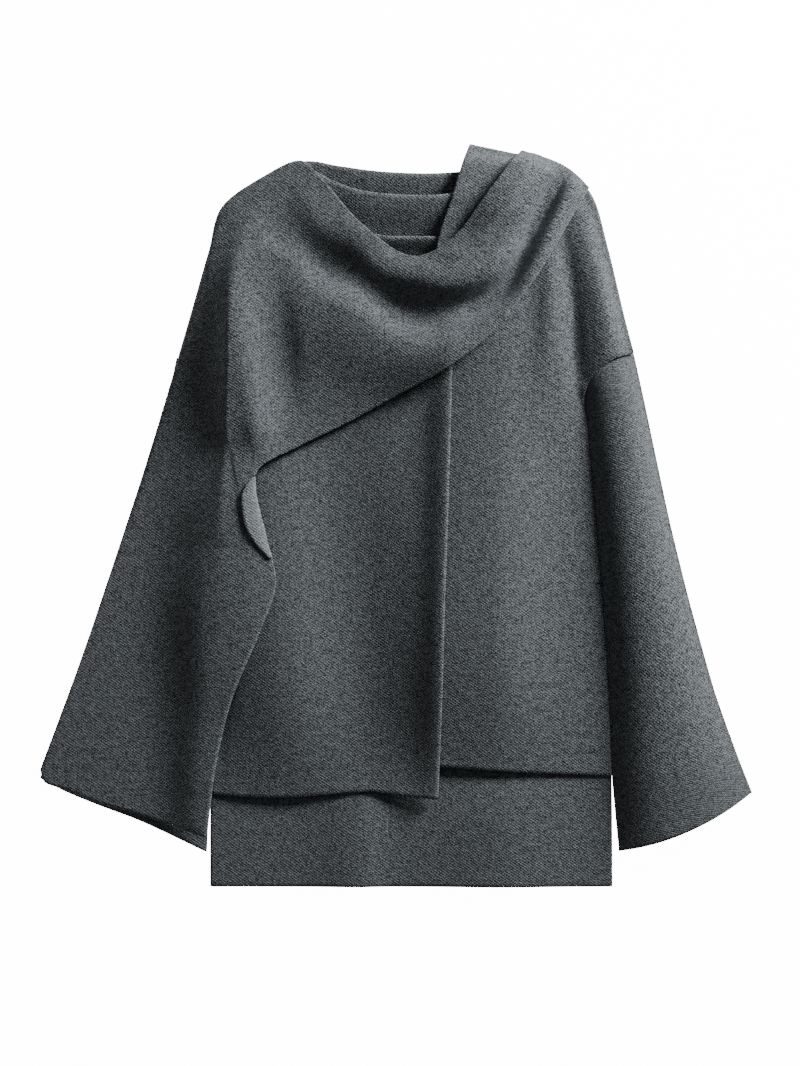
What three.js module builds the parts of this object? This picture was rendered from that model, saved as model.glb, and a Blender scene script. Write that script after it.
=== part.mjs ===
// A knitted poncho sweater of thick felted wool, laid flat on its back on a table.
// It has a long back, two front panels that wrap over each other, and a wide left sleeve.
// A cape covers the right arm and runs on as a scarf across the chest and over the left shoulder.
// X runs across the garment, Y from the hem to the neck, and Z up from the table.
// All lengths are in millimetres.
import * as THREE from "three";

// Driving dimensions
const CLOTH = 2.4; // thickness of the felted knit
const GAP = 0.3; // left between pieces that are sewn together or lie on each other
const BED_CELL = 3; // side of one square of the bed
const BED_HALF = 440; // the bed reaches this far each way from the middle
const BRIDGING = 26; // passes of smoothing, which set how stiffly cloth bridges a step below it
const CLEARING = 14; // passes that lift a settled cloth off whatever it still touches
const FOLD_STEPS = 48; // straight steps along the line of a fold
const WOOL = { color: 0x55595c, roughness: 0.95, metalness: 0 };

// A table with named columns: one line of numbers makes one row.
const table = (columns, ...lines) =>
  lines.map((line) => Object.fromEntries(columns.map((name, i) => [name, line[i]])));

// A course is one cross section of a panel, from its left end to its right end, listed from the hem upwards.
const courses = (...lines) => table(["leftX", "leftY", "rightX", "rightY"], ...lines);

// A fold follows a line. Its cloth stands "height" above its surroundings, or below if that is negative.
// It levels out within "left" and "right" of the line, as seen looking along it.
// A crease has a sharp crest, and a band has a flat one with steep sides.
const FOLD_COLUMNS = ["x", "y", "height", "left", "right"];
const fold = (...lines) => ({ rows: table(FOLD_COLUMNS, ...lines), crest: 2 });
const crease = (...lines) => ({ rows: table(FOLD_COLUMNS, ...lines), crest: 1.15 });
const band = (...lines) => ({ rows: table(FOLD_COLUMNS, ...lines), crest: 5 });

// The back is the longest panel. Its sides run in to the underarms and out again along dropped armholes.
const BACK = {
  courses: courses(
    [-202, -408, 239, -408],
    [-201, -300, 238, -290],
    [-193, -200, 234.5, -200],
    [-184, -95, 228, -95],
    [-173, 16, 219, 16],
    [-162, 92, 212.5, 92],
    [-159, 113, 208, 132],
    [-185, 135, 219.7, 154.8],
    [-210, 156, 237.7, 170.1],
    [-236, 178, 262, 178],
  ),
  top: [
    [-236, 178],
    [-218, 240],
    [-202, 296],
    [-189, 338],
    [-146, 370],
    [-100, 388],
    [-60, 382],
    [-16, 376],
    [50, 374],
    [108, 381],
    [138, 391],
    [196, 371],
    [216, 352],
    [234, 294],
    [248, 236],
    [262, 178],
  ],
  across: 18,
  along: 24,
  folds: [
    // Soft waves along the hem
    fold(
      [-41, -408, 6, 44, 24],
      [-39, -330, 6, 44, 24],
      [-36, -260, 1, 44, 24],
    ),
    fold(
      [118, -408, 8, 66, 60],
      [120, -330, 8, 66, 60],
      [124, -260, 1, 66, 60],
    ),
    // The lift of the neckline
    fold(
      [-104, 386, 2, 14, 22],
      [-60, 382, 8, 14, 26],
      [-16, 376, 9, 14, 27],
      [50, 374, 9, 14, 27],
      [108, 381, 4, 14, 24],
    ),
  ],
};

// The crown that runs from the left shoulder down the sleeve
const SHOULDER_CROWN = fold(
  [204, 330, 6, 12, 18],
  [214, 291, 11, 14, 22],
  [229, 236, 15, 18, 26],
  [236, 185, 16, 20, 28],
  [242, 150, 16, 22, 30],
);

// The left front runs from the left side seam to its edge under the other front.
// It wraps up to the far shoulder.
const LEFT_FRONT = {
  courses: courses(
    [1, -274, 238, -286],
    [-1, -200, 234.5, -200],
    [-4, -100, 228, -95],
    [-10, -20, 219, 16],
    [-24, 60, 212.5, 92],
    [-38, 130, 208, 132],
    [-56, 210, 219.7, 154.8],
    [-78, 300, 237.7, 170.1],
    [-98, 384, 262, 178],
  ),
  hem: [
    [1, -274],
    [51, -276],
    [144, -282],
    [238, -286],
  ],
  top: [
    [-98, 384],
    [-72, 368],
    [-40, 355],
    [6, 349],
    [61, 350],
    [105, 363],
    [138, 389],
    [196, 369],
    [215, 351],
    [233, 294],
    [247, 236],
    [262, 178],
  ],
  across: 17,
  along: 26,
  held: [
    { side: "right", reach: 18, to: 0.66 },
    { side: "left", reach: 12 },
    { side: "top", reach: 11, from: 0.52 },
  ],
  folds: [
    // The broad crown, which falls away more and more steeply to the side
    fold(
      [120, 352, 5, 50, 46],
      [118, 240, 14, 62, 56],
      [112, 120, 21, 56, 92],
      [108, -20, 24, 54, 140],
      [108, -160, 22, 54, 150],
      [110, -285, 3, 60, 140],
    ),
    // The narrower crown above it, beside the shoulder
    fold(
      [170, 300, 6, 22, 14],
      [172, 236, 10, 26, 15],
      [172, 181, 10, 28, 18],
      [170, 110, 4, 28, 26],
    ),
    // The valley between the crowns and the shoulder
    fold(
      [182, 310, -3, 9, 10],
      [194, 240, -5, 9, 11],
      [198, 181, -6, 9, 11],
      [201, 150, -4, 9, 10],
    ),
    SHOULDER_CROWN,
    // The lift of the neckline off the back
    fold(
      [-60, 356, 5, 14, 30],
      [-38, 350, 10, 14, 34],
      [6, 346, 13, 14, 36],
      [66, 348, 13, 14, 36],
      [108, 360, 5, 14, 30],
    ),
  ],
};

// The right front lies on the left front. Its free edge runs straight down the middle.
const RIGHT_FRONT = {
  courses: courses(
    [-201, -306, 47, -311],
    [-193, -200, 51, -204],
    [-184, -95, 54, -94],
    [-173, 16, 58, 16],
    [-163, 110, 61, 120],
    [-172, 204, 64, 215],
    [-183, 338, 67, 301],
  ),
  hem: [
    [-201, -306],
    [-159, -309],
    [-110, -309],
    [-71, -306],
    [-27, -303],
    [6, -307],
    [47, -311],
  ],
  top: [
    [-183, 338],
    [-146, 366],
    [-105, 381],
    [-87, 356],
    [-60, 326],
    [-21, 306],
    [40, 303],
    [67, 301],
  ],
  across: 15,
  along: 22,
  held: [{ side: "left", reach: 12 }],
  folds: [
    // The crown left of the middle
    fold(
      [-142, 150, 1, 50, 40],
      [-138, 40, 9, 50, 54],
      [-128, -80, 16, 56, 64],
      [-118, -200, 17, 56, 64],
      [-112, -309, 3, 56, 64],
    ),
    // The free edge, which stands off the other front
    fold(
      [62, 200, 6, 40, 20],
      [59, 60, 9, 50, 20],
      [54, -94, 11, 56, 20],
      [50, -204, 10, 58, 20],
      [47, -311, 4, 58, 20],
    ),
    // The lip at the neck, which drops away into the hollow under the cowl
    fold(
      [-60, 324, 3, 10, 13],
      [-21, 307, 9, 10, 14],
      [40, 304, 11, 10, 14],
      [67, 303, 9, 10, 14],
    ),
  ],
};

// The back half of the cape lies beside the back, under the right arm.
const CAPE_BACK = {
  courses: courses(
    [-389, -289, -207, -370],
    [-362, -212, -204, -300],
    [-311, -61, -195, -190],
    [-269, 66, -184, -70],
    [-250, 122, -174, 30],
    [-239, 173, -163.5, 107],
  ),
  hem: [
    [-389, -289],
    [-365, -302],
    [-324, -319],
    [-279, -336],
    [-207, -370],
  ],
  across: 7,
  along: 15,
  folds: [],
};

// The cape and its scarf are one cloth. Its courses start at the cuff.
// Their left ends climb the outer side of the arm to the neck, and then follow the rolled edge of the cowl.
// Their right ends follow the free front edge.
const CAPE_SCARF = {
  courses: courses(
    [-389, -280, -206, -353],
    [-348, -170, -196, -275],
    [-292, -6, -179, -204],
    [-241, 160, -146, -124],
    [-203, 292, -130, -75],
    [-190, 337, -140, -25],
    [-146, 370, -152, 30],
    [-103, 388, -149, 50],
    [-82, 370, -104, 76],
    [-36, 317, -49, 103],
    [15, 282, 12, 136],
    [40, 285, 50, 156],
    [70, 307, 96, 190],
    [100, 347, 149, 253],
    [139, 399, 213, 359],
  ),
  hem: [
    [-389, -280],
    [-384, -293],
    [-365, -300],
    [-324, -316],
    [-279, -329],
    [-206, -353],
  ],
  top: [
    [139, 399],
    [168, 391],
    [190, 381],
    [213, 359],
  ],
  across: 22,
  along: 64,
  held: [
    { side: "left", reach: 12, to: 0.52 },
    { side: "top", reach: 8 },
  ],
  folds: [
    // The cowl's rolled edge, which stands high round the neck
    fold(
      [-104, 356, 2, 14, 18],
      [-76, 311, 7, 22, 19],
      [-43, 294, 10, 24, 20],
      [-12, 267, 13, 24, 20],
      [10, 259, 16, 24, 20],
      [30, 254, 19, 26, 20],
      [50, 251, 21, 28, 21],
      [70, 252, 23, 30, 20],
      [88, 257, 23, 30, 18],
      [104, 266, 21, 28, 16],
      [119, 279, 17, 26, 15],
      [132, 296, 10, 24, 14],
      [141, 316, 4, 20, 14],
    ),
    // The broad band that it widens into over the shoulder, with a hard lower edge
    band(
      [60, 270, 1, 34, 26],
      [84, 285, 4, 42, 26],
      [104, 304, 9, 44, 25],
      [124, 333, 16, 40, 23],
      [145, 364, 14, 36, 20],
      [160, 390, 5, 34, 20],
    ),
    // The crease beside the band
    fold(
      [66, 228, -4, 12, 12],
      [92, 232, -12, 14, 14],
      [116, 246, -18, 12, 14],
      [134, 272, -17, 9, 14],
      [149, 304, -14, 7, 13],
      [164, 336, -13, 6, 13],
      [181, 368, -10, 6, 11],
    ),
    // The second ridge, nearer the scarf's lower edge
    fold(
      [-118, 276, 8, 20, 50],
      [-88, 238, 17, 26, 74],
      [-54, 225, 21, 26, 76],
      [-20, 201, 20, 25, 70],
      [4, 189, 17, 24, 58],
      [28, 180, 15, 24, 48],
      [54, 178, 14, 24, 40],
      [94, 196, 14, 20, 30],
      [120, 223, 15, 20, 26],
      [138, 251, 18, 19, 20],
      [153, 281, 19, 16, 17],
      [168, 309, 18, 13, 15],
      [182, 338, 15, 11, 13],
      [197, 366, 10, 10, 12],
    ),
    // The crease that stands off the arm, with a sharp crest
    crease(
      [-166, 311, 8, 44, 26],
      [-178, 250, 22, 52, 28],
      [-181, 181, 31, 58, 30],
      [-182, 126, 28, 60, 32],
      [-184, 71, 21, 54, 34],
      [-188, 16, 14, 54, 38],
      [-193, -40, 3, 54, 40],
    ),
    // The second, lower crest beside it, which falls steeply to the front
    fold(
      [-172, 262, 1, 12, 16],
      [-165, 205, 6, 13, 17],
      [-160, 160, 7, 14, 17],
      [-152, 125, 8, 14, 17],
      [-148, 90, 9, 13, 16],
      [-143, 62, 2, 12, 14],
    ),
    // The soft ridge that it runs out into, down to the cuff
    fold(
      [-193, 71, 2, 58, 44],
      [-196, 16, 10, 58, 44],
      [-197, -40, 18, 58, 44],
      [-203, -93, 20, 58, 42],
      [-205, -148, 18, 58, 38],
      [-205, -203, 16, 58, 34],
      [-211, -270, 14, 58, 30],
      [-214, -335, 12, 58, 28],
    ),
    // The hollow of the cape under the second ridge
    fold(
      [-130, 266, -2, 16, 24],
      [-126, 218, -6, 17, 30],
      [-122, 170, -7, 17, 32],
      [-118, 130, -5, 16, 32],
      [-114, 98, -1, 14, 28],
    ),
  ],
};

// The scarf's inner pleat shows beside the neck, where the scarf is bunched on the shoulder.
const SCARF_PLEAT = {
  courses: courses(
    [46, 290, 66, 283],
    [52, 313, 92, 306],
    [64, 348, 126, 345],
    [75, 385, 147, 376],
    [83, 407, 158, 391],
  ),
  across: 6,
  along: 10,
  held: [{ side: "top", reach: 12 }],
  folds: [
    // It rises towards its edge
    fold(
      [66, 283, 3, 30, 30],
      [94, 308, 5, 38, 30],
      [127, 346, 6, 46, 30],
      [155, 391, 5, 50, 30],
    ),
  ],
};

// The scarf's end is tucked behind the shoulder, under the back.
const SCARF_TAIL = {
  courses: courses([28, 226, 148, 190], [58, 322, 182, 276], [84, 403, 213, 352]),
  top: [
    [84, 403],
    [146, 394],
    [191, 378],
    [213, 352],
  ],
  across: 7,
  along: 8,
  folds: [],
};

// The left sleeve is a flattened tube. Each ring runs from its inner edge to its outer edge.
// The middle of a ring lies nearer the cuff by "bow".
// Its upper wall arches up by "arch" at the share "highest" of its width.
const SLEEVE_RINGS = table(
  ["innerX", "innerY", "outerX", "outerY", "bow", "highest", "arch"],
  [211.5, 131, 261, 175.5, -11, 0.56, 14],
  [214, 110, 273, 122, -5, 0.56, 17],
  [219, 50, 286, 60, 0, 0.53, 20],
  [225, -20, 301, -10, 0, 0.52, 22],
  [232.5, -100, 322, -95, 1, 0.5, 24],
  [239, -190, 350, -195, 3, 0.47, 25],
  [242.5, -285, 376, -268, 5, 0.42, 24],
  [249, -369, 391, -306, 8, 0.4, 20],
);
const SLEEVE = { rings: 24, upper: 14, lower: 6 };

const curve = (points) =>
  new THREE.CatmullRomCurve3(
    points.map(([x, y, z = 0]) => new THREE.Vector3(x, y, z)),
    false,
    "centripetal",
  );

// The bed is what has been laid down so far: the height of the highest cloth over each square of the table.
class Bed {
  constructor() {
    this.side = Math.ceil((2 * BED_HALF) / BED_CELL);
    this.heights = new Float64Array(this.side * this.side);
  }

  index(value) {
    return Math.min(this.side - 1, Math.max(0, Math.floor((value + BED_HALF) / BED_CELL)));
  }

  raise(point) {
    const cell = this.index(point.y) * this.side + this.index(point.x);
    this.heights[cell] = Math.max(this.heights[cell], point.z);
  }

  // Raises the bed to the top of a panel whose grid of points is its upper surface.
  cover(grid) {
    const between = new THREE.Vector3();
    const low = new THREE.Vector3();
    for (let row = 0; row < grid.length - 1; row++)
      for (let column = 0; column < grid[0].length - 1; column++) {
        const steps = Math.ceil((2 * spacing(grid, row, column)) / BED_CELL);
        for (let a = 0; a <= steps; a++)
          for (let b = 0; b <= steps; b++) {
            low.lerpVectors(grid[row][column], grid[row][column + 1], a / steps);
            between.lerpVectors(grid[row + 1][column], grid[row + 1][column + 1], a / steps);
            this.raise(between.lerp(low, b / steps));
          }
      }
  }
}

const neighbours = (grid, row, column) =>
  [
    [row - 1, column],
    [row + 1, column],
    [row, column - 1],
    [row, column + 1],
  ]
    .filter(([r, c]) => grid[r] && grid[r][c])
    .map(([r, c]) => grid[r][c]);

const spacing = (grid, row, column) =>
  Math.max(...neighbours(grid, row, column).map((point) => point.distanceTo(grid[row][column])));

// A flat grid of points between a panel's sides, its hem and its top line.
function spread({ courses: sections, hem, top, across, along }) {
  const first = sections[0];
  const last = sections[sections.length - 1];
  const left = curve(sections.map((section) => [section.leftX, section.leftY]));
  const right = curve(sections.map((section) => [section.rightX, section.rightY]));
  const low = curve(hem ?? [[first.leftX, first.leftY], [first.rightX, first.rightY]]);
  const high = curve(top ?? [[last.leftX, last.leftY], [last.rightX, last.rightY]]);
  const corner = (side, end) => side.getPoint(end);
  return Array.from({ length: along + 1 }, (_, row) => {
    const v = row / along;
    return Array.from({ length: across + 1 }, (_unused, column) => {
      const u = column / across;
      const point = left.getPoint(v).lerp(right.getPoint(v), u);
      const lowBow = low.getPoint(u).sub(corner(left, 0).lerp(corner(right, 0), u));
      const highBow = high.getPoint(u).sub(corner(left, 1).lerp(corner(right, 1), u));
      return point.addScaledVector(lowBow, 1 - v).addScaledVector(highBow, v);
    });
  });
}

// How far one fold lifts the cloth at a point, from the nearest place on its line.
function liftBy({ line, crest }, x, y) {
  let nearest = Infinity;
  let lift = 0;
  for (let i = 0; i < line.length - 1; i++) {
    const [a, b] = [line[i], line[i + 1]];
    const [dx, dy] = [b.x - a.x, b.y - a.y];
    const share = THREE.MathUtils.clamp(((x - a.x) * dx + (y - a.y) * dy) / (dx * dx + dy * dy), 0, 1);
    const [offX, offY] = [x - a.x - share * dx, y - a.y - share * dy];
    const away = offX * offX + offY * offY;
    if (away < nearest) {
      nearest = away;
      const reach = dx * offY - dy * offX > 0 ? a.left : a.right;
      const height = THREE.MathUtils.lerp(a.height, b.height, share);
      lift = height * Math.exp(-((Math.sqrt(away) / reach) ** crest));
    }
  }
  return lift;
}

// The points of a fold's line, close together, each with its height and reaches.
function foldLine({ rows, crest }) {
  const route = curve(rows.map((row) => [row.x, row.y, row.height]));
  const line = Array.from({ length: FOLD_STEPS + 1 }, (_, step) => {
    const along = (step / FOLD_STEPS) * (rows.length - 1);
    const before = Math.min(rows.length - 2, Math.floor(along));
    const share = along - before;
    const point = route.getPoint(step / FOLD_STEPS);
    return {
      x: point.x,
      y: point.y,
      height: point.z,
      left: THREE.MathUtils.lerp(rows[before].left, rows[before + 1].left, share),
      right: THREE.MathUtils.lerp(rows[before].right, rows[before + 1].right, share),
    };
  });
  return { line, crest };
}

// The share of its folds that a panel has at a point: none at a sewn edge, and all of them inside.
function looseness(grid, held, row, column) {
  const [lastRow, lastColumn] = [grid.length - 1, grid[0].length - 1];
  const edges = {
    left: grid[row][0],
    right: grid[row][lastColumn],
    top: grid[lastRow][column],
    hem: grid[0][column],
  };
  return held.reduce((kept, { side, reach, from = -1, to = 2 }) => {
    const away = Math.hypot(edges[side].x - grid[row][column].x, edges[side].y - grid[row][column].y);
    const share = side === "top" || side === "hem" ? column / lastColumn : row / lastRow;
    const begun = THREE.MathUtils.smoothstep(share, from, from + 0.15);
    const unfinished = THREE.MathUtils.smoothstep(-share, -to, 0.1 - to);
    return kept * (1 - Math.exp(-((away / reach) ** 2)) * begun * unfinished);
  }, 1);
}

// Where a cloth's lower surface is less than a gap above the bed, the least height of its points goes up.
function clear(grid, least, bed) {
  const lower = offset(grid, -CLOTH / 2);
  const [first, second] = [new THREE.Vector3(), new THREE.Vector3()];
  for (let row = 0; row < grid.length - 1; row++)
    for (let column = 0; column < grid[0].length - 1; column++) {
      let short = 0;
      for (let a = 0; a <= 1; a += 0.2)
        for (let b = 0; b <= 1; b += 0.2) {
          first.lerpVectors(lower[row][column], lower[row][column + 1], a);
          second.lerpVectors(lower[row + 1][column], lower[row + 1][column + 1], a);
          const point = first.lerp(second, b);
          const height = bed.heights[bed.index(point.y) * bed.side + bed.index(point.x)];
          if (height > 0) short = Math.max(short, height + GAP - point.z);
        }
      if (short > 0)
        for (const [r, c] of [[row, column], [row, column + 1], [row + 1, column], [row + 1, column + 1]])
          least[r][c] = Math.max(least[r][c], grid[r][c].z + short);
    }
}

// Lets a flat grid down on the bed: it clears what is below, bridges steps in it, and takes its own folds.
function settle(grid, panel, bed) {
  const least = grid.map((line) =>
    line.map((point) => {
      const below = bed.heights[bed.index(point.y) * bed.side + bed.index(point.x)];
      return CLOTH / 2 + (below > 0 ? below + GAP : 0);
    }),
  );
  const lower = (next) =>
    grid.forEach((line, row) =>
      line.forEach((point, column) => (point.z = Math.max(least[row][column], next(point, row, column)))),
    );
  lower(() => 0);
  for (let pass = 0; pass < BRIDGING; pass++) {
    const mean = grid.map((line, row) =>
      line.map((_, column) => {
        const around = neighbours(grid, row, column);
        return around.reduce((sum, point) => sum + point.z, 0) / around.length;
      }),
    );
    lower((_point, row, column) => mean[row][column]);
    clear(grid, least, bed);
  }
  const lines = panel.folds.map(foldLine);
  lower((point, row, column) => {
    const lift = lines.reduce((sum, each) => sum + liftBy(each, point.x, point.y), 0);
    const loose = looseness(grid, panel.held ?? [], row, column);
    return THREE.MathUtils.lerp(least[row][column], point.z + lift, loose);
  });
  for (let pass = 0; pass < CLEARING; pass++) {
    clear(grid, least, bed);
    lower((point) => point.z);
  }
}

// A closed solid between two grids of the same size: the upper surface, the lower surface and the rim.
function solidBetween(upper, lower, closedAcross = false) {
  const [rows, columns] = [upper.length, upper[0].length];
  const positions = [...upper.flat(), ...lower.flat()].flatMap((point) => [point.x, point.y, point.z]);
  const top = (row, column) => row * columns + (column % columns);
  const bottom = (row, column) => rows * columns + top(row, column);
  const faces = [];
  const quad = (a, b, c, d) => faces.push(a, b, c, a, c, d);
  const last = rows - 1;
  const spans = closedAcross ? columns : columns - 1;
  for (let row = 0; row < rows - 1; row++) {
    for (let column = 0; column < spans; column++) {
      quad(top(row, column), top(row, column + 1), top(row + 1, column + 1), top(row + 1, column));
      const [next, beside] = [row + 1, column + 1];
      quad(bottom(row, column), bottom(next, column), bottom(next, beside), bottom(row, beside));
    }
    if (!closedAcross) {
      quad(top(row, 0), top(row + 1, 0), bottom(row + 1, 0), bottom(row, 0));
      quad(top(row + 1, spans), top(row, spans), bottom(row, spans), bottom(row + 1, spans));
    }
  }
  for (let column = 0; column < spans; column++) {
    quad(top(0, column + 1), top(0, column), bottom(0, column), bottom(0, column + 1));
    quad(top(last, column), top(last, column + 1), bottom(last, column + 1), bottom(last, column));
  }
  const geometry = new THREE.BufferGeometry();
  geometry.setAttribute("position", new THREE.Float32BufferAttribute(positions, 3));
  geometry.setIndex(faces);
  geometry.computeVertexNormals();
  return geometry;
}

// The direction that a grid's surface faces at one of its points.
function facing(grid, row, column) {
  const last = (list) => list.length - 1;
  const along = grid[Math.min(row + 1, last(grid))][column].clone().sub(grid[Math.max(row - 1, 0)][column]);
  const line = grid[row];
  const across = line[Math.min(column + 1, last(line))].clone().sub(line[Math.max(column - 1, 0)]);
  return across.cross(along).normalize();
}

const offset = (grid, distance) =>
  grid.map((line, row) =>
    line.map((point, column) => point.clone().addScaledVector(facing(grid, row, column), distance)),
  );

// A panel of cloth, laid on what is "below" it and then made part of the bed.
function layPanel(panel, bed, below = bed) {
  const grid = spread(panel);
  settle(grid, panel, below);
  const upper = offset(grid, CLOTH / 2);
  bed.cover(upper);
  return solidBetween(upper, offset(grid, -CLOTH / 2));
}

// The places round one ring of the sleeve: the lower wall, outer fold, upper wall and inner fold.
function ringStations() {
  const stations = [];
  for (let i = 0; i <= SLEEVE.lower; i++) stations.push({ share: i / SLEEVE.lower, wall: "lower" });
  stations.push({ share: 1, wall: "fold" });
  for (let i = SLEEVE.upper; i >= 0; i--) stations.push({ share: i / SLEEVE.upper, wall: "upper" });
  stations.push({ share: 0, wall: "fold" });
  return stations;
}

// One surface of the sleeve, at a distance outside the middle of its wall.
function sleeveSurface(distance) {
  const keys = Object.keys(SLEEVE_RINGS[0]);
  const paths = Object.fromEntries(
    keys.map((key) => [key, curve(SLEEVE_RINGS.map((ring, i) => [i, ring[key]]))]),
  );
  const layerStep = CLOTH + GAP;
  return Array.from({ length: SLEEVE.rings + 1 }, (_, row) => {
    const ring = Object.fromEntries(keys.map((key) => [key, paths[key].getPoint(row / SLEEVE.rings).y]));
    const inner = new THREE.Vector3(ring.innerX, ring.innerY, 0);
    const outer = new THREE.Vector3(ring.outerX, ring.outerY, 0);
    const outward = outer.clone().sub(inner).normalize();
    const toCuff = new THREE.Vector3(outward.y, -outward.x, 0);
    const width = inner.distanceTo(outer);
    const place = (share) =>
      inner.clone().lerp(outer, share).addScaledVector(toCuff, 4 * ring.bow * share * (1 - share));
    const lift = (share) => {
      const side = share < ring.highest ? ring.highest : 1 - ring.highest;
      return ring.arch * (1 - (Math.abs(share - ring.highest) / side) ** 2.2);
    };
    return ringStations().map(({ share, wall }) => {
      const point = place(share);
      const normal = new THREE.Vector3(0, 0, wall === "lower" ? -1 : 1);
      point.z = CLOTH / 2;
      if (wall === "fold") {
        normal.copy(outward).multiplyScalar(share === 1 ? 1 : -1);
        point.addScaledVector(normal, layerStep / 2);
        point.z += layerStep / 2;
      }
      if (wall === "upper") {
        const step = 0.5 / SLEEVE.upper;
        const [before, after] = [Math.max(0, share - step), Math.min(1, share + step)];
        const slope = (lift(after) - lift(before)) / ((after - before) * width);
        normal.addScaledVector(outward, -slope).normalize();
        point.z += layerStep + lift(share);
      }
      return point.addScaledVector(normal, distance);
    });
  });
}

const leftSleeve = () => solidBetween(sleeveSurface(CLOTH / 2), sleeveSurface(-CLOTH / 2), true);

function piece(name, geometry) {
  const mesh = new THREE.Mesh(geometry, new THREE.MeshStandardMaterial(WOOL));
  mesh.name = name;
  return mesh;
}

// The pieces, in the order in which they are laid down.
const bed = new Bed();
const garment = new THREE.Group();
garment.add(
  piece("scarf_tail", layPanel(SCARF_TAIL, bed)),
  piece("back_panel", layPanel(BACK, bed)),
  piece("cape_back", layPanel(CAPE_BACK, bed, new Bed())),
  piece("left_sleeve", leftSleeve()),
  piece("left_front", layPanel(LEFT_FRONT, bed)),
  piece("right_front", layPanel(RIGHT_FRONT, bed)),
  piece("scarf_inner_pleat", layPanel(SCARF_PLEAT, bed)),
  piece("cape_and_scarf", layPanel(CAPE_SCARF, bed)),
);

// The origin lies on the table, under the middle of the garment's outline.
const middle = new THREE.Box3().setFromObject(garment).getCenter(new THREE.Vector3());
garment.position.set(-middle.x, -middle.y, 0);

export default garment;
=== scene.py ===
import bpy
import numpy as np
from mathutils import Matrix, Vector


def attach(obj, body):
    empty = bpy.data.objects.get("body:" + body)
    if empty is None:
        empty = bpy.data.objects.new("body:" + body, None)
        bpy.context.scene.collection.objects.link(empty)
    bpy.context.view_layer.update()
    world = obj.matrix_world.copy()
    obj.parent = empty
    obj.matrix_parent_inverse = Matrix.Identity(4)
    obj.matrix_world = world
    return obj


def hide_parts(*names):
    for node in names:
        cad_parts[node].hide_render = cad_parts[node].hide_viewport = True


bl_info = {
    "name": "Knitted poncho sweater, laid flat",
    "version": (1, 0, 0),
    "blender": (4, 5, 0),
    "location": "View3D > Sidebar > Poncho",
    "description": "Dresses the packed panels of a felted wool poncho sweater as knitted cloth",
    "category": "Add Mesh",
}

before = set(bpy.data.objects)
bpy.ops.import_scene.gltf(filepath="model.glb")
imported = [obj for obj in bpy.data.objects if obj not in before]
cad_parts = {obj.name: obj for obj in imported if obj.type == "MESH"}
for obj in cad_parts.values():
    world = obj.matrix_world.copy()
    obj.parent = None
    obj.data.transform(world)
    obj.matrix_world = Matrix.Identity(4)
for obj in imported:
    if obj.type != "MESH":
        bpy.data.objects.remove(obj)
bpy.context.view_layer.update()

MM = 0.001
# The tables are in millimetres, with the centre front near zero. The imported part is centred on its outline.
CENTRE = np.array([-2.146, 0.184])


# Each point of a fold is x, y, height, left and right. The cloth stands "height" above what is round it.
# It levels out within "left" and "right" of the line.
def fold(*points):
    """A fold with a soft, round crest."""
    return {"points": points, "crest": 2}


def crease(*points):
    """A fold with a sharp crest."""
    return {"points": points, "crest": 1.15}


def band(*points):
    """A fold with a flat crest and steep sides."""
    return {"points": points, "crest": 5}


# Each course crosses a panel from its left end to its right end: x and y of both, from the hem up.
# A held edge is sewn down: its side, its reach, and the shares of that side at which it starts and ends.
# A cut edge is painted pale, for its bare fibres and as a painted highlight: its side, and the shares at
# which it starts and ends.

BACK = {
    "courses": [
        (-202, -408, 239, -408),
        (-201, -300, 238, -290),
        (-193, -200, 234.5, -200),
        (-184, -95, 228, -95),
        (-173, 16, 219, 16),
        (-162, 92, 212.5, 92),
        (-159, 113, 208, 132),
        (-185, 135, 219.7, 154.8),
        (-210, 156, 237.7, 170.1),
        (-236, 178, 262, 178),
    ],
    "top": [
        (-236, 178),
        (-218, 240),
        (-202, 296),
        (-189, 338),
        (-146, 370),
        (-100, 388),
        (-60, 382),
        (-16, 376),
        (50, 374),
        (108, 381),
        (138, 391),
        (196, 371),
        (216, 352),
        (234, 294),
        (248, 236),
        (262, 178),
    ],
    "held": [],
    "cut": [("hem", 0, 1), ("top", 0.33, 0.72)],
    "folds": [
        # Soft waves along the hem
        fold(
            (-41, -408, 6, 44, 24),
            (-39, -330, 6, 44, 24),
            (-36, -260, 1, 44, 24),
        ),
        fold(
            (118, -408, 8, 66, 60),
            (120, -330, 8, 66, 60),
            (124, -260, 1, 66, 60),
        ),
        # The lift of the neckline
        fold(
            (-104, 386, 2, 14, 22),
            (-60, 382, 8, 14, 26),
            (-16, 376, 9, 14, 27),
            (50, 374, 9, 14, 27),
            (108, 381, 4, 14, 24),
        ),
    ],
}

# The crown that runs from the left shoulder down the sleeve
SHOULDER_CROWN = fold(
    (204, 330, 6, 12, 18),
    (214, 291, 11, 14, 22),
    (229, 236, 15, 18, 26),
    (236, 185, 16, 20, 28),
    (242, 150, 16, 22, 30),
)

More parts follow.
